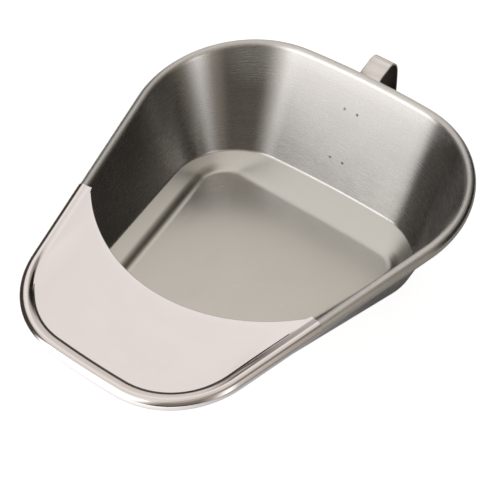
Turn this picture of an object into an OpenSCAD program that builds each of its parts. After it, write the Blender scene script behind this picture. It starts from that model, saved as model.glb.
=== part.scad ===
// Bedpan: pressed steel pan with a rolled rim, a seat deck wrapped over the low front of
// the rim, and a strap handle spot-welded to the high rear wall.
// +Z is up, +Y is towards the handle, the base stands on z = 0. Millimetres.

/* [Rim] */
// Length of the rim from front to rear, between bead centres
rim_len = 346; // [320:1:370]
// Height of the bead's centre at the rear
rim_h_rear = 97; // [85:1:115]
// Height of the bead's centre at the front
rim_h_front = 33.7; // [30:0.1:45]
// Outer radius of the rolled bead
bead_r = 5.3; // [4:0.1:7]
// Sheet thickness of the pan
pan_t = 0.8; // [0.6:0.1:1.2]
// Distance of each rear corner's centre from the middle
rim_rear_x = 54.7; // [50:0.1:60]
// Radius of the rear corners
rim_rear_r = 92.8; // [85:0.1:100]
// Distance of each front corner's centre from the middle
rim_front_x = 31; // [27:0.1:35]
// Radius of the front corners
rim_front_r = 71; // [67:0.1:76]
// Radius of the slight bow of the rear and front edges
rim_bow_r = 850; // [700:10:1200]

/* [Bowl] */
// Height of the sharp crease between wall and sloping band
crease_h = 7.7; // [6:0.1:10]
// Distance of the crease in from the rim at the rear
crease_rear_in = 40.6; // [38:0.1:44]
// Distance of the crease in from the rim at the front
crease_front_in = 20.5; // [18:0.1:26]
// Radius of the crease's rear corners
crease_rear_r = 59; // [50:1:65]
// Radius of the crease's front corners
crease_front_r = 56; // [50:1:60]
// Distance of the flat floor in from the rim at the rear
floor_rear_in = 69; // [64:1:74]
// Distance of the flat floor in from the rim at the front
floor_front_in = 42; // [38:1:48]
// Radius of the floor's rear corners
floor_rear_r = 24; // [18:1:30]

/* [Deck] */
// Sheet thickness of the deck
deck_t = 0.8; // [0.6:0.1:1]
// Distance from the front of the rim to the middle of the deck's inner edge
deck_depth = 79.5; // [74:0.1:88]
// Radius of the deck's concave inner edge
deck_edge_r = 152; // [140:1:170]
// Distance from the front of the rim to the ends of the deck's ears
ear_reach = 126.6; // [123:0.1:130]
// Height of the deck's flat above the bead's centre, round the front
deck_rise = 3; // [2.8:0.1:3.4]
// Height of the deck's flat above the bead's centre, at the ears
ear_rise = 4.9; // [4.2:0.1:5.1]
// Width of the folded hem along the inner edge
hem_w = 2.6; // [2:0.1:3]

/* [Handle] */
// Width of the strap
strap_w = 20; // [16:0.5:24]
// Thickness of the strap
strap_t = 1.6; // [1.2:0.1:2]
// Distance of the strap's outermost face behind the rim's bead centre
handle_reach = 38; // [34:1:44]
// Sideways offset of the handle from the middle
handle_x = -3; // [-10:0.5:10]
// Distance between the two spot welds in a row
weld_pitch = 13; // [8:0.5:15]
// Radius of each spot weld
weld_r = 1.6; // [1:0.1:2]

/* [Hidden] */

steel = [0.80, 0.79, 0.77];
bright_steel = [0.92, 0.91, 0.90];
weld_grey = [0.45, 0.44, 0.43];

// The deck is wrapped over the bead with a hair of clearance.
wrap_gap = 0.05;
wrap_r = bead_r + wrap_gap + deck_t;

// The origin is midway between the deck's front and the handle's rear.
whole_len = wrap_r + rim_len + handle_reach;
rear_y = whole_len / 2 - handle_reach;
front_y = rear_y - rim_len;
rim_slope = (rim_h_rear - rim_h_front) / rim_len;
function rim_z(y) = rim_h_rear + rim_slope * (y - rear_y);

// The crease and the flat floor follow the rim with corners of their own.
crease_rear_x = rim_rear_x + 1.5;
crease_front_x = rim_front_x - 5;
crease_bow_r = 1.4 * rim_bow_r;
floor_rear_x = rim_rear_x + 20;
floor_front_x = rim_front_x - 7;
floor_front_r = crease_front_r - 18;
floor_bow_r = 1.8 * rim_bow_r;

// Segments in the rear bow, rear corner, side, front corner and front bow of an outline
OUTLINE_SEGS = [3, 10, 4, 9, 4];
// How far the soft corners at the crease and at the floor's edge reach
crease_reach = 2;
floor_reach = 7;
fillet_segs = 3;
// The bead's curl stops short of closing, at this angle round its centre.
curl_end = -155;
curl_segs = 12;

// ---- Outlines -------------------------------------------------------------------------
// An outline is a rounded trapezoid of tangent arcs, symmetric about x = 0. Each station
// is [x, y, nx, ny], with the outward normal; they run clockwise from the rear's middle.

function arc_stations(c, r, a0, a1, n) =
    [for (i = [0 : n - 1]) let (a = a0 + (a1 - a0) * i / n)
        [c.x + r * cos(a), c.y + r * sin(a), cos(a), sin(a)]];

function line_stations(p, q, a, n) =
    [for (i = [0 : n - 1]) let (m = p + (q - p) * i / n) [m.x, m.y, cos(a), sin(a)]];

function mirrored(stations) =
    [for (i = [len(stations) - 1 : -1 : 0]) let (s = stations[i]) [-s[0], s[1], -s[2], s[3]]];

function outline(rear, front, xr, rr, xf, rf, bow) =
    let (
        cr = [xr, rear - bow + sqrt((bow - rr) ^ 2 - xr ^ 2)],
        cf = [xf, front + bow - sqrt((bow - rf) ^ 2 - xf ^ 2)],
        span = cf - cr,
        rear_a = atan2(cr.y - rear + bow, xr),
        front_a = atan2(cf.y - front - bow, xf),
        side_a = atan2(span.y, span.x) + acos((rr - rf) / norm(span)),
        side_n = [cos(side_a), sin(side_a)],
        half = concat(
            arc_stations([0, rear - bow], bow, 90, rear_a, OUTLINE_SEGS[0]),
            arc_stations(cr, rr, rear_a, side_a, OUTLINE_SEGS[1]),
            line_stations(cr + rr * side_n, cf + rf * side_n, side_a, OUTLINE_SEGS[2]),
            arc_stations(cf, rf, side_a, front_a, OUTLINE_SEGS[3]),
            arc_stations([0, front + bow], bow, front_a, -90, OUTLINE_SEGS[4])),
        left = [for (i = [1 : len(half) - 1]) half[i]]
    )
    concat(half, [[0, front, 0, -1]], mirrored(left));

rim = outline(rear_y, front_y, rim_rear_x, rim_rear_r, rim_front_x, rim_front_r, rim_bow_r);
crease = outline(rear_y - crease_rear_in, front_y + crease_front_in, crease_rear_x,
    crease_rear_r, crease_front_x, crease_front_r, crease_bow_r);
floor_edge = outline(rear_y - floor_rear_in, front_y + floor_front_in, floor_rear_x,
    floor_rear_r, floor_front_x, floor_front_r, floor_bow_r);

// A point at distance n outwards from a station, at height z
function out(s, n, z) = [s[0] + s[2] * n, s[1] + s[3] * n, z];
// Points along a quadratic and a cubic curve
function bend(p, q, r, segs) =
    [for (i = [0 : segs]) let (t = i / segs, u = 1 - t) u * u * p + 2 * t * u * q + t * t * r];
function swoop(p, q, r, s, segs) =
    [for (i = [0 : segs]) let (t = i / segs, u = 1 - t)
        u ^ 3 * p + 3 * u * u * t * q + 3 * u * t * t * r + t ^ 3 * s];
function unit(v) = v / norm(v);
// A corner rounded over a distance d along both of its sides
function rounded(p, corner, q, d) =
    bend(corner + d * unit(p - corner), corner, corner + d * unit(q - corner), fillet_segs);
function miter(m, n) = (m + n) / (1 + m * n);
function polar(r, a) = r * [cos(a), sin(a)];

// ---- Solids from grids of points ------------------------------------------------------
// rows[i][j]: i runs along the sweep and j round the section.

function quad(a, b, c, d) = [[a, b, c], [a, c, d]];
function skin(m, k, closed) =
    [for (i = [0 : (closed ? m : m - 1) - 1], j = [0 : k - 1])
        let (i2 = (i + 1) % m, j2 = (j + 1) % k)
        each quad(i * k + j, i * k + j2, i2 * k + j2, i2 * k + j)];
function joined(rows) = [for (row = rows) each row];

// ---- Pan body -------------------------------------------------------------------------

// The angle round the bead at which the wall's inner face leaves it
function wall_angle(r, c) =
    let (w = [(c.x - r[0]) * r[2] + (c.y - r[1]) * r[3], crease_h - rim_z(r[1])])
    360 + atan2(w.y, w.x) - acos(bead_r / norm(w));

// One section of the pan, from the floor up over the bead and back down the outside
function pan_section(r, c, f) =
    let (
        z = rim_z(r[1]),
        a = wall_angle(r, c),
        top = out(r, bead_r * cos(a), z + bead_r * sin(a)),
        top_back = out(r, (bead_r - pan_t) * cos(a), z + (bead_r - pan_t) * sin(a)),
        crease_p = out(c, 0, crease_h),
        floor_p = out(f, 0, pan_t),
        rise = unit([norm([c[0] - f[0], c[1] - f[1]]), crease_h - pan_t]),
        wall_n = -polar(1, a),
        band_n = [rise.y, -rise.x],
        crease_m = pan_t * miter(wall_n, band_n),
        floor_m = pan_t * miter(band_n, [0, -1]),
        crease_back = out(c, crease_m.x, crease_h + crease_m.y),
        floor_back = out(f, floor_m.x, 0),
        floor_in = out(f, -2 * floor_reach, pan_t),
        floor_in_back = out(f, -2 * floor_reach, 0)
    )
    concat(
        rounded(floor_in, floor_p, crease_p, floor_reach),
        rounded(floor_p, crease_p, top, crease_reach),
        [for (i = [0 : curl_segs]) let (b = a + (curl_end - a) * i / curl_segs)
            out(r, bead_r * cos(b), z + bead_r * sin(b))],
        [for (i = [0 : curl_segs]) let (b = curl_end + (a - curl_end) * i / curl_segs)
            out(r, (bead_r - pan_t) * cos(b), z + (bead_r - pan_t) * sin(b))],
        rounded(top_back, crease_back, floor_back, crease_reach),
        rounded(crease_back, floor_back, floor_in_back, floor_reach));

module pan_body() {
    rows = [for (i = [0 : len(rim) - 1]) pan_section(rim[i], crease[i], floor_edge[i])];
    m = len(rows);
    k = len(rows[0]);
    sides = [for (i = [0 : m - 1], j = [0 : k - 2])
        each quad(i * k + j, i * k + j + 1, (i + 1) % m * k + j + 1, (i + 1) % m * k + j)];
    floor_top = [for (i = [0 : m - 1]) i * k];
    floor_base = [for (i = [m - 1 : -1 : 0]) i * k + k - 1];
    color(steel)
        polyhedron(joined(rows), concat(sides, [floor_top, floor_base]), convexity = 8);
}

// ---- Deck -----------------------------------------------------------------------------

// Angle round the bead of the wrap's lip, and how far above the flat the wrap leaves the bead
lip_a = -10;
leave_h = 0.8;
wrap_segs = 11;
// Distances outwards from the bead's centre where the flat begins and its plane takes over
flat_n = -7.6;
leave_n = -3;
// Width of the flat left at each ear, and the least length of the step before an ear
ear_flat = 3;
ear_step = 6;
// Outer radius of the folded hem, and the gap inside the fold
hem_r = 1;
hem_gap = hem_r - deck_t;
edge_c = [0, front_y + deck_depth + deck_edge_r];

// Rim stations under the deck, from the right ear round the front to the left ear
ear_y = front_y + ear_reach;
side_first = OUTLINE_SEGS[0] + OUTLINE_SEGS[1];
side_p = rim[side_first];
side_dir = [side_p[3], -side_p[2]];
ear_x = side_p[0] + (ear_y - side_p[1]) * side_dir.x / side_dir.y;
ear = [ear_x, ear_y, side_p[2], side_p[3]];
past_ear = [for (s = rim) if (s[1] < ear_y - ear_step) s];
deck_rim = concat([ear], past_ear, [[-ear[0], ear[1], -ear[2], ear[3]]]);

// The flat climbs from the front corners towards the ears and the inner edge.
climb_from = front_y + 20;
climb_to = front_y + 85;
function rise_at(s) =
    let (t = min(1, max(0, (s[1] - climb_from) / (climb_to - climb_from))))
    deck_rise + (ear_rise - deck_rise) * t * t * (3 - 2 * t);

// Section of the wrap in [outwards, up] from the bead's centre
function wrap_section(r, rise) =
    let (
        leave_a = 180 - asin((rise + leave_h) / wrap_r),
        from = polar(r, leave_a),
        h = rise - (wrap_r - r),
        corner = [from.x + (from.y - h) * tan(leave_a), h]
    )
    concat(
        [for (i = [0 : wrap_segs - 1]) polar(r, lip_a + (leave_a - lip_a) * i / wrap_segs)],
        bend(from, corner, [flat_n, h], 4));

// The hem's two faces, in [into the deck from its inner edge, down from the flat]
function hem_curve(r, end_h) =
    concat([for (i = [0 : 4]) [hem_r, -hem_r] + polar(r, 90 + i * 45)], [[hem_w, end_h]]);

ear_n = flat_n - ear_flat;
edge_scale = (ear[0] + ear[2] * ear_n) / (ear[0] + ear[2] * flat_n);
function edge_angle(s) = asin(edge_scale * (s[0] + s[2] * flat_n) / deck_edge_r);
function edge_point(a, into, h) =
    let (p = edge_c + (deck_edge_r + into) * [sin(a), -cos(a)])
    [p.x, p.y, rim_z(p.y) + rise_at(p) + h];

// The flat lies in a plane parallel to the rim, and the bead's section is upright.
function on_plane(n) = min(1, max(0, (n - leave_n) / (flat_n - leave_n)));

function deck_row(s, r, hem) =
    let (
        wrap = [for (p = wrap_section(r, rise_at(s)))
            out(s, p.x, rim_z(s[1] + on_plane(p.x) * s[3] * p.x) + p.y)],
        a = edge_angle(s),
        edge = [for (p = hem) edge_point(a, p.x, p.y)],
        last = wrap[len(wrap) - 1],
        middle = [for (t = [0.25, 0.5, 0.75]) last + t * (edge[0] - last)]
    )
    concat(wrap, middle, edge);

module deck_plate() {
    tops = [for (s = deck_rim) deck_row(s, wrap_r, hem_curve(hem_r, -2 * hem_r))];
    backs = [for (s = deck_rim)
        deck_row(s, wrap_r - deck_t, hem_curve(hem_gap, -2 * hem_r + deck_t))];
    h = len(tops[0]);
    k = 2 * h;
    m = len(tops);
    rows = [for (i = [0 : m - 1])
        concat(tops[i], [for (j = [h - 1 : -1 : 0]) backs[i][j]])];
    caps = [for (j = [0 : h - 2]) each concat(
        quad(j, k - 1 - j, k - 2 - j, j + 1),
        quad((m - 1) * k + j, (m - 1) * k + j + 1, m * k - 2 - j, m * k - 1 - j))];
    color(bright_steel)
        polyhedron(joined(rows), concat(skin(m, k, false), caps), convexity = 8);
}

// Tack welds in the wedge between the ears' underside and the wall
tack_r = 1.05;
tack_back = 2;
module deck_ear_tacks() {
    z = ear_rise - deck_t - tack_r;
    n = -sqrt((bead_r + tack_r) ^ 2 - z ^ 2);
    for (side = [-1, 1])
        color(weld_grey)
            translate([side * (ear[0] + ear[2] * n), ear_y + ear[3] * n - tack_back,
                rim_z(ear_y - tack_back) + z])
                sphere(r = tack_r, $fn = 32);
}

// ---- Handle ---------------------------------------------------------------------------

// The rear wall's outer face at mid-width: a line up from the crease, leaning outwards
wall_lean = 180 - wall_angle(rim[0], crease[0]);
wall_dir = [sin(wall_lean), cos(wall_lean)];
wall_out = [cos(wall_lean), -sin(wall_lean)];
function on_wall(z, off) =
    let (p = [rear_y - crease_rear_in, crease_h] + (pan_t + off) * wall_out)
    p + wall_dir * (z - p.y) / wall_dir.y;

// Heights of the two rows of welds, and how far a foot runs past its welds
weld_zs = [31, 73];
foot_len = 9;
foot_gap = 0.05;
weld_proud = 0.3;
strap_off = foot_gap + strap_t / 2;
// Centre of the strap at its outermost point
outer_y = rear_y + handle_reach - strap_t / 2;

upper_foot = on_wall(weld_zs[1] - foot_len, strap_off);
upper_bend = on_wall(weld_zs[1] + foot_len, strap_off);
neck = [rear_y + 9.5, rim_h_rear - 1.2];
crown = [rear_y + 21.5, rim_h_rear + 4.6];
shoulder = [outer_y - 1.4, rim_h_rear - 5];
belly = [outer_y, 68];
lower_bend = on_wall(weld_zs[0] + foot_len, strap_off);
lower_foot = on_wall(weld_zs[0] - foot_len, strap_off);
heel = lower_bend + [7, 4.5];

strap_path = concat(
    [upper_foot],
    swoop(upper_bend, upper_bend + 9 * wall_dir, neck - [6, 5.5], neck, 6),
    [for (i = [1 : 8]) swoop(neck, neck + [4, 3], crown - [4.5, 2.4], crown, 8)[i]],
    [for (i = [1 : 10]) swoop(crown, crown + [7, 3.7], shoulder + [-1.2, 9], shoulder, 10)[i]],
    [for (i = [1 : 4]) swoop(shoulder, shoulder - [-0.7, 6], belly + [0, 8], belly, 4)[i]],
    [for (i = [1 : 12]) swoop(belly, belly - [0, 24], heel + [19, 3.5], heel, 12)[i]],
    [for (i = [1 : 4]) bend(heel, heel - [5.8, 2.3], lower_bend - 2 * wall_dir, 4)[i]],
    [lower_foot]);

// A strip of thickness t centred on a path
function path_normal(path, i) =
    let (
        p = path[max(i - 1, 0)],
        q = path[min(i + 1, len(path) - 1)],
        d = unit(q - p)
    )
    [-d.y, d.x];
function strip(path, t) = concat(
    [for (i = [0 : len(path) - 1]) path[i] + t / 2 * path_normal(path, i)],
    [for (i = [len(path) - 1 : -1 : 0]) path[i] - t / 2 * path_normal(path, i)]);

// A pin through the strap's foot, square to the wall, from a to b off the wall's face
module at_welds(a, b) {
    for (z = weld_zs, side = [-1, 1])
        translate([handle_x + side * weld_pitch / 2, on_wall(z, a).x, on_wall(z, a).y])
            rotate([-90 - wall_lean, 0, 0])
                cylinder(r = weld_r, h = b - a, $fn = 32);
}

module handle_strap() {
    color(steel)
        difference() {
            translate([handle_x - strap_w / 2, 0, 0])
                rotate([90, 0, 90])
                    linear_extrude(strap_w)
                        polygon(strip(strap_path, strap_t));
            at_welds(-1, strap_t + 2);
        }
}

// Weld nuggets: each fills its hole in the strap and touches the wall
module handle_spot_welds() {
    color(weld_grey)
        at_welds(0, strap_t + weld_proud);
}

pan_body();
deck_plate();
deck_ear_tacks();
handle_strap();
handle_spot_welds();
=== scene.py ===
"""Looks of the bedpan: fine swept meshes in place of the faceted CAD sheets, brushed steel, studio light."""

import math

import bpy
from mathutils import Matrix, Vector


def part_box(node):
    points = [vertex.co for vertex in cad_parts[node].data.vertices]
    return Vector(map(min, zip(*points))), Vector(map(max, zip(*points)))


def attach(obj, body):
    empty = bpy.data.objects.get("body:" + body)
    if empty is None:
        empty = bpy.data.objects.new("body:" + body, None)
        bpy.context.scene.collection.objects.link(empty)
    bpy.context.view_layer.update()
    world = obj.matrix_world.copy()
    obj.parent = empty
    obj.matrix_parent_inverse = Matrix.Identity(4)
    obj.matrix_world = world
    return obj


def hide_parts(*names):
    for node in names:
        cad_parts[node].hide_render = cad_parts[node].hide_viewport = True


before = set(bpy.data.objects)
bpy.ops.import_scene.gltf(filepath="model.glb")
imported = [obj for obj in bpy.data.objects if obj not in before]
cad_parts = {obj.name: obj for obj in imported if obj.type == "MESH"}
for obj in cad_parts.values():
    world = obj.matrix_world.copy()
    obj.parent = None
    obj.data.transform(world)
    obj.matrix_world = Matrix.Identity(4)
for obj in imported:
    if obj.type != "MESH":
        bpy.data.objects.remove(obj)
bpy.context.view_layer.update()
MM = 0.001

# ---- Driving dimensions, in metres, as in the CAD source -------------------------------
BEAD_R = 5.3 * MM
PAN_T = 0.8 * MM
DECK_T = 0.8 * MM
WRAP_GAP = 0.05 * MM
WRAP_R = BEAD_R + WRAP_GAP + DECK_T
CREASE_H = 7.7 * MM
DECK_RISE, EAR_RISE, LEAVE_H = 3 * MM, 4.9 * MM, 0.8 * MM

pan_low, pan_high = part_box("pan_body")
REAR_Y = pan_high.y - BEAD_R
FRONT_Y = pan_low.y + BEAD_R
RIM_REAR_H = pan_high.z - BEAD_R
RIM_FRONT_H = 33.7 * MM
RIM_SLOPE = (RIM_REAR_H - RIM_FRONT_H) / (REAR_Y - FRONT_Y)
BOW_R = 850 * MM
REAR_X, REAR_R = 54.7 * MM, 92.8 * MM
FRONT_X, FRONT_R = 31 * MM, 71 * MM
CREASE_REAR_IN, CREASE_FRONT_IN = 40.6 * MM, 20.5 * MM
CREASE_REAR_X, CREASE_FRONT_X = REAR_X + 1.5 * MM, FRONT_X - 5 * MM
CREASE_REAR_R, CREASE_FRONT_R = 59 * MM, 56 * MM
CREASE_BOW_R = 1.4 * BOW_R
FLOOR_REAR_IN, FLOOR_FRONT_IN = 69 * MM, 42 * MM
FLOOR_REAR_X, FLOOR_FRONT_X = REAR_X + 20 * MM, FRONT_X - 7 * MM
FLOOR_REAR_R, FLOOR_FRONT_R = 24 * MM, CREASE_FRONT_R - 18 * MM
FLOOR_BOW_R = 1.8 * BOW_R
DECK_DEPTH, EAR_REACH = 79.5 * MM, 126.6 * MM
# Steps along the rear bow, rear corner, side, front corner and front bow of an outline
STATION_STEPS = (14, 48, 34, 44, 16)


def rim_z(y):
    return RIM_REAR_H + RIM_SLOPE * (y - REAR_Y)


# ---- Curves ----------------------------------------------------------------------------
def polar(r, a):
    return Vector((r * math.cos(a), r * math.sin(a)))


def bend(p, q, r, n):
    """Points along a quadratic curve, both ends included."""
    return [(1 - t) ** 2 * p + 2 * t * (1 - t) * q + t * t * r for t in (i / n for i in range(n + 1))]


def swoop(p, q, r, s, n):
    """Points along a cubic curve, both ends included."""
    return [
        (1 - t) ** 3 * p + 3 * t * (1 - t) ** 2 * q + 3 * t * t * (1 - t) * r + t**3 * s
        for t in (i / n for i in range(n + 1))
    ]


def rounded(p, corner, q, d, n):
    """A corner rounded over a distance d along both of its sides."""
    return bend(corner + d * (p - corner).normalized(), corner, corner + d * (q - corner).normalized(), n)


def miter(m, n):
    """The offset of a corner between two faces with unit normals m and n, per unit of thickness."""
    return (m + n) / (1 + m.dot(n))


class Station:
    """A point of an outline with its outward normal."""

    def __init__(self, x, y, a):
        self.x, self.y, self.nx, self.ny = x, y, math.cos(a), math.sin(a)

    def out(self, n, z):
        return Vector((self.x + self.nx * n, self.y + self.ny * n, z))

    def mirror(self):
        other = Station(-self.x, self.y, 0)
        other.nx, other.ny = -self.nx, self.ny
        return other


def outline(rear, front, xr, rr, xf, rf, bow):
    """Stations round a rounded trapezoid of tangent arcs, clockwise from the rear's middle."""
    cr = Vector((xr, rear - bow + math.sqrt((bow - rr) ** 2 - xr**2)))
    cf = Vector((xf, front + bow - math.sqrt((bow - rf) ** 2 - xf**2)))
    span = cf - cr
    rear_a = math.atan2(cr.y - rear + bow, xr)
    front_a = math.atan2(cf.y - front - bow, xf)
    side_a = math.atan2(span.y, span.x) + math.acos((rr - rf) / span.length)
    side_from, side_to = cr + polar(rr, side_a), cf + polar(rf, side_a)
    arcs = [
        (Vector((0, rear - bow)), bow, math.pi / 2, rear_a),
        (cr, rr, rear_a, side_a),
        None,
        (cf, rf, side_a, front_a),
        (Vector((0, front + bow)), bow, front_a, -math.pi / 2),
    ]
    half = []
    for steps, arc in zip(STATION_STEPS, arcs):
        for i in range(steps):
            t = i / steps
            if arc is None:
                p = side_from.lerp(side_to, t)
                half.append(Station(p.x, p.y, side_a))
            else:
                c, r, a0, a1 = arc
                a = a0 + (a1 - a0) * t
                p = c + polar(r, a)
                half.append(Station(p.x, p.y, a))
    tip = Station(0, front, -math.pi / 2)
    return half + [tip] + [s.mirror() for s in reversed(half[1:])]


RIM = outline(REAR_Y, FRONT_Y, REAR_X, REAR_R, FRONT_X, FRONT_R, BOW_R)
CREASE = outline(
    REAR_Y - CREASE_REAR_IN, FRONT_Y + CREASE_FRONT_IN, CREASE_REAR_X, CREASE_REAR_R,
    CREASE_FRONT_X, CREASE_FRONT_R, CREASE_BOW_R,
)
FLOOR = outline(
    REAR_Y - FLOOR_REAR_IN, FRONT_Y + FLOOR_FRONT_IN, FLOOR_REAR_X, FLOOR_REAR_R,
    FLOOR_FRONT_X, FLOOR_FRONT_R, FLOOR_BOW_R,
)


# ---- Meshes ----------------------------------------------------------------------------
def arc_lengths(points):
    total, out = 0.0, [0.0]
    for a, b in zip(points, points[1:]):
        total += (b - a).length
        out.append(total)
    return out


def new_piece(name, verts, faces, materials):
    """A smooth object with an empty UV layer in metres."""
    mesh = bpy.data.meshes.new(name)
    mesh.from_pydata(verts, [], faces)
    mesh.uv_layers.new(name="metres")
    for material in materials:
        mesh.materials.append(material)
    mesh.polygons.foreach_set("use_smooth", [True] * len(faces))
    mesh.update()
    obj = bpy.data.objects.new(name, mesh)
    bpy.context.scene.collection.objects.link(obj)
    return obj


def sweep(name, rows, materials, zone, ring=True, closed=True, caps=()):
    """A mesh from rows of points: rows run along the sweep, and each goes round one section.

    zone(i, j) is the material of the face after point j of row i. The UV is metres along and across.
    caps holds the end faces, which have the first material.
    """
    m, k = len(rows), len(rows[0])
    verts = [p for row in rows for p in row]
    along = arc_lengths([row[k // 3] for row in rows] + ([rows[0][k // 3]] if ring else []))
    across = arc_lengths(rows[0] + [rows[0][0]])
    faces, uvs, slots = [], [], []
    for i in range(m if ring else m - 1):
        for j in range(k if closed else k - 1):
            i2, j2 = (i + 1) % m, (j + 1) % k
            faces.append((i * k + j, i2 * k + j, i2 * k + j2, i * k + j2))
            (u, u2), (v, v2) = along[i:i + 2], across[j:j + 2]
            uvs += [(u, v), (u2, v), (u2, v2), (u, v2)]
            slots.append(zone(i, j))
    for cap in caps:
        faces.append(cap)
        uvs += [(verts[v].x, verts[v].y) for v in cap]
        slots.append(0)
    obj = new_piece(name, verts, faces, materials)
    for loop, uv in zip(obj.data.uv_layers["metres"].data, uvs):
        loop.uv = uv
    obj.data.polygons.foreach_set("material_index", slots)
    return obj


def stand_in(obj, cad_node):
    """Put a fine mesh in the place of a CAD node."""
    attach(obj, "root")
    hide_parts(cad_node)


# ---- Materials -------------------------------------------------------------------------
def node(tree, kind, **values):
    """A new shader node. Each value is an input's default, or else a setting of the node."""
    made = tree.nodes.new(kind)
    for key, value in values.items():
        if key in made.inputs:
            made.inputs[key].default_value = value
        else:
            setattr(made, key, value)
    return made


# Painted shade in reflections: the share of its colour that steel keeps when it is seen in other
# steel across the bowl, and the distances over which that sets in
REFLECTED_SHADE, REFLECTED_SHADE_FROM, REFLECTED_SHADE_TO = 0.15, 0.05, 0.15


def steel(name, tint, rough, spread, anisotropy, grain, bump, cloud=0.05):
    """Brushed steel, with roughness rough ± spread and a tint that varies by the share cloud.

    grain is the brush marks' scale along and across, per metre of the UV.
    """
    material = bpy.data.materials.new(name)
    material.use_nodes = True
    tree = material.node_tree
    shader = tree.nodes["Principled BSDF"]
    shader.inputs["Metallic"].default_value = 1.0
    shader.inputs["Anisotropic"].default_value = anisotropy
    shader.inputs["Anisotropic Rotation"].default_value = 0.25
    uv = node(tree, "ShaderNodeTexCoord")
    place = node(tree, "ShaderNodeMapping")
    place.inputs["Scale"].default_value = (grain[0], grain[1], 1)
    tree.links.new(uv.outputs["UV"], place.inputs["Vector"])
    marks = node(tree, "ShaderNodeTexNoise", Scale=1.0, Detail=3.0, Roughness=0.65)
    tree.links.new(place.outputs["Vector"], marks.inputs["Vector"])
    haze = node(tree, "ShaderNodeTexNoise", Scale=28.0, Detail=3.0, Roughness=0.55)
    tree.links.new(uv.outputs["Object"], haze.inputs["Vector"])
    wear = node(tree, "ShaderNodeMix", data_type="FLOAT", Factor=0.45)
    tree.links.new(marks.outputs["Fac"], wear.inputs["A"])
    tree.links.new(haze.outputs["Fac"], wear.inputs["B"])
    level = node(tree, "ShaderNodeMapRange")
    level.inputs["From Min"].default_value = 0.3
    level.inputs["From Max"].default_value = 0.7
    level.inputs["To Min"].default_value = rough - spread
    level.inputs["To Max"].default_value = rough + spread
    tree.links.new(wear.outputs["Result"], level.inputs["Value"])
    tree.links.new(level.outputs["Result"], shader.inputs["Roughness"])
    ramp = node(tree, "ShaderNodeValToRGB")
    ramp.color_ramp.elements[0].position = 0.25
    ramp.color_ramp.elements[1].position = 0.75
    ramp.color_ramp.elements[0].color = (*[c * (1 - cloud) for c in tint], 1)
    ramp.color_ramp.elements[1].color = (*[min(1, c * (1 + cloud)) for c in tint], 1)
    tree.links.new(wear.outputs["Result"], ramp.inputs["Fac"])
    path = node(tree, "ShaderNodeLightPath")
    # Inputs 6 and 7 and output 2 are a Mix node's colours.
    # Painted shade: on glossy rays that have crossed the bowl, the colour is darkened towards that share.
    reflected_shade = node(tree, "ShaderNodeMix", data_type="RGBA", blend_type="MULTIPLY")
    across = node(tree, "ShaderNodeMapRange")
    across.inputs["From Min"].default_value = REFLECTED_SHADE_FROM
    across.inputs["From Max"].default_value = REFLECTED_SHADE_TO
    tree.links.new(path.outputs["Ray Length"], across.inputs["Value"])
    seen = node(tree, "ShaderNodeMath", operation="MULTIPLY")
    tree.links.new(across.outputs["Result"], seen.inputs[0])
    tree.links.new(path.outputs["Is Glossy Ray"], seen.inputs[1])
    tree.links.new(seen.outputs[0], reflected_shade.inputs["Factor"])
    tree.links.new(ramp.outputs["Color"], reflected_shade.inputs[6])
    reflected_shade.inputs[7].default_value = (REFLECTED_SHADE, REFLECTED_SHADE, REFLECTED_SHADE, 1)
    tree.links.new(reflected_shade.outputs[2], shader.inputs["Base Color"])
    relief = node(tree, "ShaderNodeBump", Strength=bump, Distance=0.2 * MM)
    tree.links.new(marks.outputs["Fac"], relief.inputs["Height"])
    tree.links.new(relief.outputs["Normal"], shader.inputs["Normal"])
    tangent = node(tree, "ShaderNodeTangent", direction_type="UV_MAP")
    tangent.uv_map = "metres"
    tree.links.new(tangent.outputs["Tangent"], shader.inputs["Tangent"])
    return material


WALL = steel("pan_wall_steel", (0.66, 0.65, 0.64), 0.27, 0.02, 1.0, (12, 1100), 0.0, 0.05)
FLOOR_SATIN = steel("pan_floor_steel", (0.66, 0.65, 0.615), 0.25, 0.03, 0.3, (30, 900), 0.0, 0.05)
RIM_BRIGHT = steel("rim_bright_steel", (0.76, 0.75, 0.73), 0.25, 0.04, 0.6, (12, 1800), 0.03)
DECK_BRIGHT = steel("deck_bright_steel", (0.84, 0.805, 0.81), 0.14, 0.03, 0.3, (40, 1200), 0.0, 0.03)
STRAP_STEEL = steel("strap_steel", (0.82, 0.80, 0.78), 0.24, 0.06, 0.5, (1200, 25), 0.06)
# Painted shade: a nearly black steel on the strap's inner side stands in for the shade inside the loop.
STRAP_INSIDE_SHADE = steel("strap_inside_painted_shade", (0.13, 0.11, 0.095), 0.4, 0.08, 0.3, (900, 40), 0.05, 0.2)
# Painted shade: a nearly black steel in the groove beside the bead stands in for the dark line of shade in
# the crease.
GROOVE_PAINTED_SHADE = steel("groove_painted_shade", (0.12, 0.11, 0.10), 0.5, 0.1, 0.0, (200, 400), 0.0, 0.3)
WELD_STEEL = steel("weld_steel", (0.36, 0.34, 0.32), 0.42, 0.1, 0.0, (400, 400), 0.3, 0.25)


# ---- Pan body --------------------------------------------------------------------------
# The bead's curl stops short of closing, at this angle. Its first few steps have the wall's steel.
CURL_END = math.radians(-155)
CURL_STEPS, WALL_CURL_STEPS, WALL_STEPS, FLOOR_RINGS = 34, 11, 8, 5
FLOOR_MID = Vector((0, (REAR_Y + FRONT_Y) / 2 - 12 * MM))
# The floor is flat from this far in from its edge.
FLOOR_FLAT = 10 * MM
# The soft step round the floor's edge, and the share of its height that is missing along the rear
STEP_OUT, STEP_UP, REAR_EASE = 6.4 * MM, 3.4 * MM, 0.55
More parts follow.
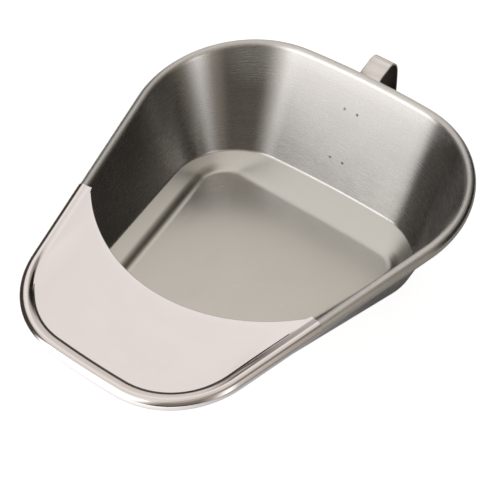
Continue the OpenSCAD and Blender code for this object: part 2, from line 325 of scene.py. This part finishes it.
# How far the rounded corners reach, and their steps
SOFT, SOFT_STEPS = 3.2 * MM, 8
SHARP, SHARP_BACK, SHARP_STEPS = 1.5 * MM, 2.5 * MM, 6


def wall_angle(r, c):
    """The angle round the bead at which the wall's inner face leaves it."""
    w = Vector(((c.x - r.x) * r.nx + (c.y - r.y) * r.ny, CREASE_H - rim_z(r.y)))
    return math.tau + math.atan2(w.y, w.x) - math.acos(BEAD_R / w.length)


def pan_section(r, c, f):
    """One section of the pan, from the floor's middle over the bead and back, and each point's material."""
    z = rim_z(r.y)
    step_up = STEP_UP * (1 - REAR_EASE * max(0, f.ny) ** 2)
    a = wall_angle(r, c)
    inner_r = BEAD_R - PAN_T
    top = r.out(BEAD_R * math.cos(a), z + BEAD_R * math.sin(a))
    top_back = r.out(inner_r * math.cos(a), z + inner_r * math.sin(a))
    crease_p = c.out(0, CREASE_H)
    floor_p, step_p = f.out(-STEP_OUT / 2, PAN_T), f.out(STEP_OUT / 2, PAN_T + step_up)
    run = math.hypot(c.x - f.x, c.y - f.y) - STEP_OUT / 2
    rise = Vector((run, CREASE_H - PAN_T - step_up)).normalized()
    climb = Vector((STEP_OUT, step_up)).normalized()
    band_n, step_n = Vector((rise.y, -rise.x)), Vector((climb.y, -climb.x))
    crease_m = PAN_T * miter(-polar(1, a), band_n)
    step_m = PAN_T * miter(band_n, step_n)
    floor_m = PAN_T * miter(step_n, Vector((0, -1)))
    crease_back = c.out(crease_m.x, CREASE_H + crease_m.y)
    step_back = f.out(STEP_OUT / 2 + step_m.x, PAN_T + step_up + step_m.y)
    floor_back = f.out(floor_m.x - STEP_OUT / 2, 0)
    floor_in, floor_in_back = f.out(-FLOOR_FLAT, PAN_T), f.out(-FLOOR_FLAT, 0)
    mid, mid_back = Vector((*FLOOR_MID, PAN_T)), Vector((*FLOOR_MID, 0))
    soft = rounded(floor_in, floor_p, step_p, SOFT, SOFT_STEPS)
    soft += rounded(floor_p, step_p, crease_p, SOFT, SOFT_STEPS)
    sharp = rounded(step_p, crease_p, top, SHARP, SHARP_STEPS)
    wall = [sharp[-1].lerp(top, i / WALL_STEPS) for i in range(1, WALL_STEPS)]
    over = [r.out(BEAD_R * math.cos(b), z + BEAD_R * math.sin(b))
            for b in (a + (CURL_END - a) * i / CURL_STEPS for i in range(CURL_STEPS + 1))]
    under = [r.out(inner_r * math.cos(b), z + inner_r * math.sin(b))
             for b in (CURL_END + (a - CURL_END) * i / CURL_STEPS for i in range(CURL_STEPS + 1))]
    sharp_back = rounded(top_back, crease_back, step_back, SHARP_BACK, SHARP_STEPS)
    wall_back = [top_back.lerp(sharp_back[0], i / WALL_STEPS) for i in range(1, WALL_STEPS)]
    soft_back = rounded(crease_back, step_back, floor_back, SOFT, SOFT_STEPS)
    soft_back += rounded(step_back, floor_back, floor_in_back, SOFT, SOFT_STEPS)
    rings = [mid.lerp(soft[0], (i + 1) / (FLOOR_RINGS + 1)) for i in range(FLOOR_RINGS)]
    rings_back = [soft_back[-1].lerp(mid_back, (i + 1) / (FLOOR_RINGS + 1)) for i in range(FLOOR_RINGS)]
    parts = [
        (0, rings + soft), (1, sharp + wall + over[:WALL_CURL_STEPS]),
        (2, over[WALL_CURL_STEPS:] + under), (1, wall_back + sharp_back), (0, soft_back + rings_back),
    ]
    return [p for _, part in parts for p in part], [m for m, part in parts for _ in part]


def pan_piece():
    sections = [pan_section(r, c, f) for r, c, f in zip(RIM, CREASE, FLOOR)]
    rows, zones = [points for points, _ in sections], sections[0][1]
    m, k = len(rows), len(rows[0])
    caps = [tuple(i * k for i in reversed(range(m))), tuple(i * k + k - 1 for i in range(m))]
    return sweep(
        "pan_shell", rows, (FLOOR_SATIN, WALL, RIM_BRIGHT), lambda i, j: zones[j], closed=False, caps=caps)


stand_in(pan_piece(), "pan_body")


# ---- Deck ------------------------------------------------------------------------------
LIP_A = math.radians(-10)
# Outwards from the bead's centre: where the flat begins, where its plane takes over from the
# bead's upright section, and where that starts
FLAT_N, PLANE_N, LEAVE_N = -7.6 * MM, -5.4 * MM, -2 * MM
# How much higher than LEAVE_H the wrap leaves the bead at the ears
EAR_LEAVE = 0.2 * MM
EDGE_R = 152 * MM
EDGE_C = Vector((0, FRONT_Y + DECK_DEPTH + EDGE_R))
EAR_Y = FRONT_Y + EAR_REACH
# The flat left at the end of each ear, and how far along and round the bead its lip is rounded off
EAR_FLAT, EAR_ROUND, EAR_CUT = 3 * MM, 6 * MM, math.radians(58)
# The folded hem's outer radius and width
HEM_R, HEM_W = 1 * MM, 2.6 * MM
# The groove's middle, half width and depth, and its least depth and half width
GROOVE_N, GROOVE_W, GROOVE_D = -6.2 * MM, 0.7 * MM, 0.5 * MM
LEAST_GROOVE, LEAST_HALF = 0.04 * MM, 0.25 * MM
# Where the groove starts on the left and on the right, and how far it takes to reach its depth
GROOVE_LEFT, GROOVE_RIGHT = (-157 * MM, 14 * MM), (-68 * MM, 70 * MM)
WRAP_STEPS, CORNER_STEPS, GROOVE_STEPS, MIDDLE_STEPS, EAR_STEPS = 26, 6, 5, 14, 9
# From the rim's front: where the flat's climb starts, and where it ends on the right and on the
# left. The two blend over a width on the left.
CLIMB_FROM, CLIMB_TO, CLIMB_TO_LEFT, CLIMB_BLEND = 20 * MM, 85 * MM, 62 * MM, 70 * MM


def ease(t):
    """0 to 1 with soft ends, held at both."""
    t = min(1.0, max(0.0, t))
    return t * t * (3 - 2 * t)


def groove_depth(s):
    """The pressed groove beside the bead is deep round the front and dies out along the sides."""
    start, length = GROOVE_LEFT if s.x < 0 else GROOVE_RIGHT
    return GROOVE_D * ease((start - s.y) / length)


def rise_at(s):
    """The flat climbs from the front corners towards the ears and the inner edge, sooner on the left."""
    climb_to = CLIMB_TO + (CLIMB_TO_LEFT - CLIMB_TO) * ease(-s.x / CLIMB_BLEND)
    return DECK_RISE + (EAR_RISE - DECK_RISE) * ease((s.y - FRONT_Y - CLIMB_FROM) / (climb_to - CLIMB_FROM))


def lip_at(s):
    """The wrap's lip is rounded off at the ears."""
    t = min(1.0, max(0.0, 1 - (EAR_Y - s.y) / EAR_ROUND))
    return LIP_A + EAR_CUT * (1 - math.sqrt(1 - t * t))


def wrap_section(r, rise, lip, groove):
    """The wrap from its lip over the bead to the flat, as [outwards, up] from the bead's centre."""
    climbed = (rise - DECK_RISE) / (EAR_RISE - DECK_RISE)
    leave_a = math.pi - math.asin((rise + LEAVE_H + EAR_LEAVE * climbed) / WRAP_R)
    leave = polar(r, leave_a)
    h = rise - (WRAP_R - r)
    corner = Vector((leave.x + (leave.y - h) * math.tan(leave_a), h))
    over = [polar(r, lip + (leave_a - lip) * i / WRAP_STEPS) for i in range(WRAP_STEPS)]
    half = max(groove * GROOVE_W / GROOVE_D, LEAST_HALF)
    a, b = Vector((GROOVE_N + half, h)), Vector((GROOVE_N - half, h))
    if groove < LEAST_GROOVE:
        across = [a.lerp(b, i / (2 * GROOVE_STEPS)) for i in range(1, 2 * GROOVE_STEPS + 1)]
    else:
        mid, pull = Vector((GROOVE_N, h - groove)), 0.4 * half
        down = bend(a, Vector((a.x - pull, mid.y)), mid, GROOVE_STEPS)
        up = swoop(mid, Vector((b.x + pull, mid.y)), Vector((b.x + pull, h)), b, GROOVE_STEPS)
        across = down[1:] + up[1:]
    return over + bend(leave, corner, a, CORNER_STEPS) + across + [Vector((FLAT_N, h))]


def deck_zone(i, j):
    """The groove has a dark steel of its own, which is painted shade in the crease."""
    first = WRAP_STEPS + CORNER_STEPS - 1
    return 1 if first <= j <= first + 2 * GROOVE_STEPS and groove_depth(deck_rim[i]) > LEAST_GROOVE else 0


def hem_curve(r, end_h):
    """One face of the folded hem, as [into the deck from its inner edge, up from the flat]."""
    turn = [Vector((HEM_R, -HEM_R)) + polar(r, math.radians(90 + i * 15)) for i in range(13)]
    return turn + [Vector((HEM_W, end_h))]


# Rim stations under the deck, from the right ear round the front to the left ear
side = RIM[sum(STATION_STEPS[:2])]
ear_x = side.x + (EAR_Y - side.y) * side.ny / -side.nx
side_a = math.atan2(side.ny, side.nx)
ears = [Station(ear_x + side.ny * d, EAR_Y - side.nx * d, side_a)
        for d in (EAR_ROUND * (i / EAR_STEPS) ** 2 for i in range(EAR_STEPS + 1))]
ear = ears[0]
beyond = [s for s in RIM if s.y < ears[-1].y - 1 * MM]
deck_rim = ears + beyond + [s.mirror() for s in reversed(ears)]
edge_scale = (ear.x + ear.nx * (FLAT_N - EAR_FLAT)) / (ear.x + ear.nx * FLAT_N)


def edge_point(a, into, h):
    """A point at angle a along the inner edge, so far into the deck and so far above its flat."""
    p = EDGE_C + (EDGE_R + into) * Vector((math.sin(a), -math.cos(a)))
    return Vector((p.x, p.y, rim_z(p.y) + rise_at(p) + h))


def deck_row(s, r, groove, hem):
    """One face of the deck, from the wrap's lip at a station to the inner edge's hem."""
    wrap, rise = [], rise_at(s)
    for p in wrap_section(r, rise, lip_at(s), groove):
        on_plane = min(1, max(0, (p.x - LEAVE_N) / (PLANE_N - LEAVE_N)))
        wrap.append(s.out(p.x, rim_z(s.y + on_plane * s.ny * p.x) + p.y))
    a = math.asin(edge_scale * (s.x + s.nx * FLAT_N) / EDGE_R)
    edge = [edge_point(a, p.x, p.y) for p in hem]
    middle = [wrap[-1].lerp(edge[0], i / MIDDLE_STEPS) for i in range(1, MIDDLE_STEPS)]
    return wrap + middle + edge


def deck_piece():
    top_hem, back_hem = hem_curve(HEM_R, -2 * HEM_R), hem_curve(HEM_R - DECK_T, DECK_T - 2 * HEM_R)
    tops = [deck_row(s, WRAP_R, groove_depth(s), top_hem) for s in deck_rim]
    backs = [deck_row(s, WRAP_R - DECK_T, 0, back_hem) for s in deck_rim]
    h, m = len(tops[0]), len(tops)
    rows = [top + back[::-1] for top, back in zip(tops, backs)]
    k = 2 * h
    base = (m - 1) * k
    caps = []
    for j in range(h - 1):
        caps.append((j, j + 1, k - 2 - j, k - 1 - j))
        caps.append((base + j, base + k - 1 - j, base + k - 2 - j, base + j + 1))
    return sweep("deck_plate_pressing", rows, (DECK_BRIGHT, GROOVE_PAINTED_SHADE), deck_zone, ring=False, caps=caps)


stand_in(deck_piece(), "deck_plate")


# ---- Handle ----------------------------------------------------------------------------
STRAP_W, STRAP_T, STRAP_EDGE = 20 * MM, 1.6 * MM, 0.45 * MM
HANDLE_X = -3 * MM
WELD_ZS, WELD_PITCH, WELD_R, WELD_PROUD = (31 * MM, 73 * MM), 13 * MM, 1.6 * MM, 0.35 * MM
FOOT, FOOT_GAP, HEEL_TUCK = 9 * MM, 0.05 * MM, 2 * MM
# The faces of the strap's section that look into the loop, which get the dark steel of painted shade
SHADED_INSIDE_FACES = range(11, 18)
lean = math.pi - wall_angle(RIM[0], CREASE[0])
WALL_DIR = Vector((math.sin(lean), math.cos(lean)))
WALL_OUT = Vector((math.cos(lean), -math.sin(lean)))


def on_wall(z, off):
    """The point (y, z) at height z, off the rear wall's outer face."""
    p = Vector((REAR_Y - CREASE_REAR_IN, CREASE_H)) + (PAN_T + off) * WALL_OUT
    return p + WALL_DIR * (z - p.y) / WALL_DIR.y


def yz(y, z):
    return Vector((y * MM, z * MM))


def strap_path():
    """The strap's middle line as (y, z), from the upper foot over the crown to the lower foot."""
    off = FOOT_GAP + STRAP_T / 2
    outer_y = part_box("handle_strap")[1].y - STRAP_T / 2
    upper_foot, upper_bend = on_wall(WELD_ZS[1] - FOOT, off), on_wall(WELD_ZS[1] + FOOT, off)
    lower_foot, lower_bend = on_wall(WELD_ZS[0] - FOOT, off), on_wall(WELD_ZS[0] + FOOT, off)
    rim_mid = Vector((REAR_Y, RIM_REAR_H))
    neck = rim_mid + yz(9.5, -1.2)
    crown = rim_mid + yz(21.5, 4.6)
    shoulder = Vector((outer_y, RIM_REAR_H)) + yz(-1.4, -5)
    belly = Vector((outer_y, 68 * MM))
    heel = lower_bend + yz(7, 4.5)
    runs = [
        [upper_foot.lerp(upper_bend, i / 6) for i in range(7)],
        swoop(upper_bend, upper_bend + 9 * MM * WALL_DIR, neck - yz(6, 5.5), neck, 24),
        swoop(neck, neck + yz(4, 3), crown - yz(4.5, 2.4), crown, 20),
        swoop(crown, crown + yz(7, 3.7), shoulder + yz(-1.2, 9), shoulder, 28),
        swoop(shoulder, shoulder - yz(-0.7, 6), belly + yz(0, 8), belly, 12),
        swoop(belly, belly - yz(0, 24), heel + yz(19, 3.5), heel, 40),
        bend(heel, heel - yz(5.8, 2.3), lower_bend - HEEL_TUCK * WALL_DIR, 12),
        [(lower_bend - HEEL_TUCK * WALL_DIR).lerp(lower_foot, i / 6) for i in range(7)],
    ]
    return runs[0] + [p for run in runs[1:] for p in run[1:]]


def strap_piece():
    path = strap_path()
    half_w, half_t = STRAP_W / 2, STRAP_T / 2
    section = []
    for cx, cy, a0 in ((1, 1, 0), (-1, 1, 90), (-1, -1, 180), (1, -1, 270)):
        centre = Vector((cx * (half_w - STRAP_EDGE), cy * (half_t - STRAP_EDGE)))
        section += [centre + polar(STRAP_EDGE, math.radians(a0 + i * 22.5)) for i in range(5)]
    rows = []
    for i, p in enumerate(path):
        d = (path[min(i + 1, len(path) - 1)] - path[max(i - 1, 0)]).normalized()
        n = Vector((-d.y, d.x))
        rows.append([Vector((HANDLE_X + s.x, p.x + n.x * s.y, p.y + n.y * s.y)) for s in section])
    k, m = len(section), len(rows)
    caps = [tuple(range(k)), tuple(reversed(range((m - 1) * k, m * k)))]
    # The faces inside the loop get the dark steel that paints their shade.
    return sweep("handle_strap_bent", rows, (STRAP_STEEL, STRAP_INSIDE_SHADE),
                 lambda i, j: int(j in SHADED_INSIDE_FACES), ring=False, caps=caps)


stand_in(strap_piece(), "handle_strap")


# ---- Welds -----------------------------------------------------------------------------
def lathe(name, beads, material):
    """Round beads: each is a profile of [radius, height] and the (centre, axis) pairs it stands at."""
    verts, faces, turns = [], [], 24
    for profile, (centre, axis) in ((profile, place) for profile, places in beads for place in places):
        x = axis.orthogonal().normalized()
        y = axis.cross(x)
        first = len(verts)
        for r, h in profile:
            for i in range(turns):
                a = math.tau * i / turns
                verts.append(centre + axis * h + x * (r * math.cos(a)) + y * (r * math.sin(a)))
        for j in range(len(profile) - 1):
            low, high = first + j * turns, first + (j + 1) * turns
            for i in range(turns):
                i2 = (i + 1) % turns
                faces.append([low + i, low + i2, high + i2, high + i])
        faces.append([first + i for i in reversed(range(turns))])
        faces.append([first + (len(profile) - 1) * turns + i for i in range(turns)])
    return new_piece(name, verts, faces, (material,))


def weld_places(off):
    """The four welds' centres, off the rear wall's outer face, and their common axis."""
    axis = Vector((0, *WALL_OUT))
    return [
        (Vector((HANDLE_X + s * WELD_PITCH / 2, *on_wall(z, off))), axis) for z in WELD_ZS for s in (-1, 1)
    ]


def mark_places():
    """The inner face of the rear wall, behind each weld."""
    return [(centre, -axis) for centre, axis in weld_places(-PAN_T)]


def weld_piece():
    """A nugget fills its hole and is domed outside. A mark is a low ring round a shallow dimple."""
    angles = [math.radians(15 * i) for i in range(6)]
    dome = [(WELD_R * math.cos(a), WELD_PROUD * math.sin(a)) for a in angles]
    nugget = [(WELD_R, -STRAP_T)] + dome + [(0.1 * MM, WELD_PROUD)]
    mark_mm = ((1.25, -0.02), (1.15, 0.06), (1.0, 0.15), (0.8, 0.15), (0.6, 0.08), (0.1, 0.04))
    mark = [(r * MM, h * MM) for r, h in mark_mm]
    beads = ((nugget, weld_places(STRAP_T + FOOT_GAP)), (mark, mark_places()))
    return lathe("spot_weld_nuggets", beads, WELD_STEEL)


stand_in(weld_piece(), "handle_spot_welds")
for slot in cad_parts["deck_ear_tacks"].material_slots:
    slot.material = WELD_STEEL


# ---- Studio ----------------------------------------------------------------------------
VIEW_AZIMUTH, VIEW_ELEVATION, VIEW_ROLL = (math.radians(a) for a in (37.6, 43.48, 1.98))
VIEW_AIM = Vector((-6.7, 14.6, 3.1)) * MM
VIEW_DISTANCE = 1.32
SENSOR, LENS = 36.0, 115.2


def make_camera():
    """The camera at the photograph's angle, aimed at the middle of the view."""
    back = Vector((
        math.sin(VIEW_AZIMUTH) * math.cos(VIEW_ELEVATION),
        -math.cos(VIEW_AZIMUTH) * math.cos(VIEW_ELEVATION),
        math.sin(VIEW_ELEVATION),
    ))
    level = Vector((math.cos(VIEW_AZIMUTH), math.sin(VIEW_AZIMUTH), 0))
    upright = back.cross(level)
    right = math.cos(VIEW_ROLL) * level + math.sin(VIEW_ROLL) * upright
    up = back.cross(right)
    data = bpy.data.cameras.new("camera")
    data.lens, data.sensor_width = LENS, SENSOR
    camera = bpy.data.objects.new("camera", data)
    camera.matrix_world = Matrix.Translation(VIEW_AIM + VIEW_DISTANCE * back) @ Matrix(
        (right, up, back)).transposed().to_4x4()
    bpy.context.scene.collection.objects.link(camera)
    bpy.context.scene.camera = camera


# The floor glows to plain white where it is seen directly. In reflections its glow goes from one
# level to another between two distances, in metres towards the rear right: (distance, level).
FLOOR_HALF, FLOOR_GREY, FLOOR_WHITE = 1.6, 0.4, 0.92
GLOW_WAY, GLOW_FROM, GLOW_TO = (0.62, 0.78, 0), (0.1, 0.05), (-0.25, 1.1)


def make_floor():
    mesh = bpy.data.meshes.new("studio_floor")
    corners = ((-1, -1), (1, -1), (1, 1), (-1, 1))
    mesh.from_pydata([(x * FLOOR_HALF, y * FLOOR_HALF, 0) for x, y in corners], [], [(0, 1, 2, 3)])
    floor = bpy.data.objects.new("studio_floor", mesh)
    bpy.context.scene.collection.objects.link(floor)
    material = bpy.data.materials.new("pale_floor")
    material.use_nodes = True
    tree = material.node_tree
    shader = tree.nodes["Principled BSDF"]
    shader.inputs["Base Color"].default_value = (FLOOR_GREY, FLOOR_GREY, FLOOR_GREY, 1)
    shader.inputs["Roughness"].default_value = 0.9
    shader.inputs["Specular IOR Level"].default_value = 0.1
    shader.inputs["Emission Color"].default_value = (1, 1, 1, 1)
    path = node(tree, "ShaderNodeLightPath")
    place = node(tree, "ShaderNodeTexCoord")
    towards = node(tree, "ShaderNodeVectorMath", operation="DOT_PRODUCT")
    tree.links.new(place.outputs["Object"], towards.inputs[0])
    towards.inputs[1].default_value = GLOW_WAY
    fade = node(tree, "ShaderNodeMapRange")
    for key, value in zip(("From Min", "To Min", "From Max", "To Max"), (*GLOW_FROM, *GLOW_TO)):
        fade.inputs[key].default_value = value
    tree.links.new(towards.outputs["Value"], fade.inputs["Value"])
    glow = node(tree, "ShaderNodeMapRange")
    glow.inputs["To Max"].default_value = FLOOR_WHITE
    tree.links.new(path.outputs["Is Camera Ray"], glow.inputs["Value"])
    tree.links.new(fade.outputs["Result"], glow.inputs["To Min"])
    tree.links.new(glow.outputs["Result"], shader.inputs["Emission Strength"])
    mesh.materials.append(material)


# The room's light by compass direction, in degrees anticlockwise from +X: at the horizon, above
# it, high up and overhead. Each next level takes over between two heights of the direction.
HORIZON = (
    (-180, 0.08), (-150, 0.05), (-137, 0.05), (-129, 1.4), (-101, 1.4), (-95, 0.9), (-86, 0.5),
    (-78, 0.03), (-40, 0.03), (-25, 0.45), (-12, 1.6), (2, 0.42), (12, 0.24), (24, 0.02), (60, 0.0),
    (98, 0.0), (108, 0.7), (148, 0.7), (158, 0.06), (180, 0.08),
)
MIDDLE = (
    (-180, 0.04), (-141, 0.06), (-132, 2.4), (-101, 2.4), (-95, 1.4), (-87, 0.6), (-76, 0.22),
    (-40, 0.22), (-26, 0.5), (-12, 1.5), (2, 0.33), (12, 0.16), (20, 0.03), (60, 0.01), (92, 0.02),
    (108, 0.66), (146, 0.8), (154, 0.06),
)
SKY = (
    (-180, 0.8), (-140, 0.8), (-125, 0.9), (-105, 0.9), (-85, 0.5), (-40, 0.4), (10, 0.2), (50, 0.2),
    (88, 0.4), (104, 0.9), (146, 0.95), (158, 0.9),
)
TOP = ((-180, 0.75), (180, 0.75))
MIDDLE_Z, SKY_Z, TOP_Z = (0.1, 0.4), (0.70, 0.80), (0.93, 0.985)
BRIGHT_TINT, DARK_TINT = (1.0, 0.965, 0.935), (1.0, 0.84, 0.64)


def light_ramp(tree, direction, stops):
    """A ring of light: dim light is warmer than bright light."""
    ramp = node(tree, "ShaderNodeValToRGB")
    elements = ramp.color_ramp.elements
    elements.remove(elements[-1])
    for i, (degrees, level) in enumerate(stops):
        where = (degrees + 180) / 360
        stop = elements[0] if i == 0 else elements.new(where)
        stop.position = where
        share = min(1, level)
        stop.color = (*[level * (d + (b - d) * share) for d, b in zip(DARK_TINT, BRIGHT_TINT)], 1)
    tree.links.new(direction, ramp.inputs["Fac"])
    return ramp.outputs["Color"]


def make_world():
    world = bpy.data.worlds.new("studio")
    bpy.context.scene.world = world
    world.use_nodes = True
    tree = world.node_tree
    tree.nodes.clear()
    coords = node(tree, "ShaderNodeTexCoord")
    split = node(tree, "ShaderNodeSeparateXYZ")
    tree.links.new(coords.outputs["Generated"], split.inputs[0])
    angle = node(tree, "ShaderNodeMath", operation="ARCTAN2")
    tree.links.new(split.outputs["Y"], angle.inputs[0])
    tree.links.new(split.outputs["X"], angle.inputs[1])
    turn = node(tree, "ShaderNodeMapRange")
    turn.inputs["From Min"].default_value = -math.pi
    turn.inputs["From Max"].default_value = math.pi
    tree.links.new(angle.outputs[0], turn.inputs["Value"])
    colour = light_ramp(tree, turn.outputs["Result"], HORIZON)
    for stops, (z_from, z_to) in ((MIDDLE, MIDDLE_Z), (SKY, SKY_Z), (TOP, TOP_Z)):
        rise = node(tree, "ShaderNodeMapRange", interpolation_type="SMOOTHSTEP")
        rise.inputs["From Min"].default_value = z_from
        rise.inputs["From Max"].default_value = z_to
        tree.links.new(split.outputs["Z"], rise.inputs["Value"])
        mix = node(tree, "ShaderNodeMix", data_type="RGBA")
        tree.links.new(rise.outputs["Result"], mix.inputs["Factor"])
        tree.links.new(colour, mix.inputs[6])
        tree.links.new(light_ramp(tree, turn.outputs["Result"], stops), mix.inputs[7])
        colour = mix.outputs[2]
    light = node(tree, "ShaderNodeBackground", Strength=1.0)
    tree.links.new(colour, light.inputs["Color"])
    white = node(tree, "ShaderNodeBackground", Strength=1.0)
    white.inputs["Color"].default_value = (1, 1, 1, 1)
    path = node(tree, "ShaderNodeLightPath")
    choose = node(tree, "ShaderNodeMixShader")
    tree.links.new(path.outputs["Is Camera Ray"], choose.inputs["Fac"])
    tree.links.new(light.outputs[0], choose.inputs[1])
    tree.links.new(white.outputs[0], choose.inputs[2])
    out = node(tree, "ShaderNodeOutputWorld")
    tree.links.new(choose.outputs[0], out.inputs["Surface"])


make_camera()
make_floor()
make_world()
bpy.context.scene.view_settings.view_transform = "Standard"
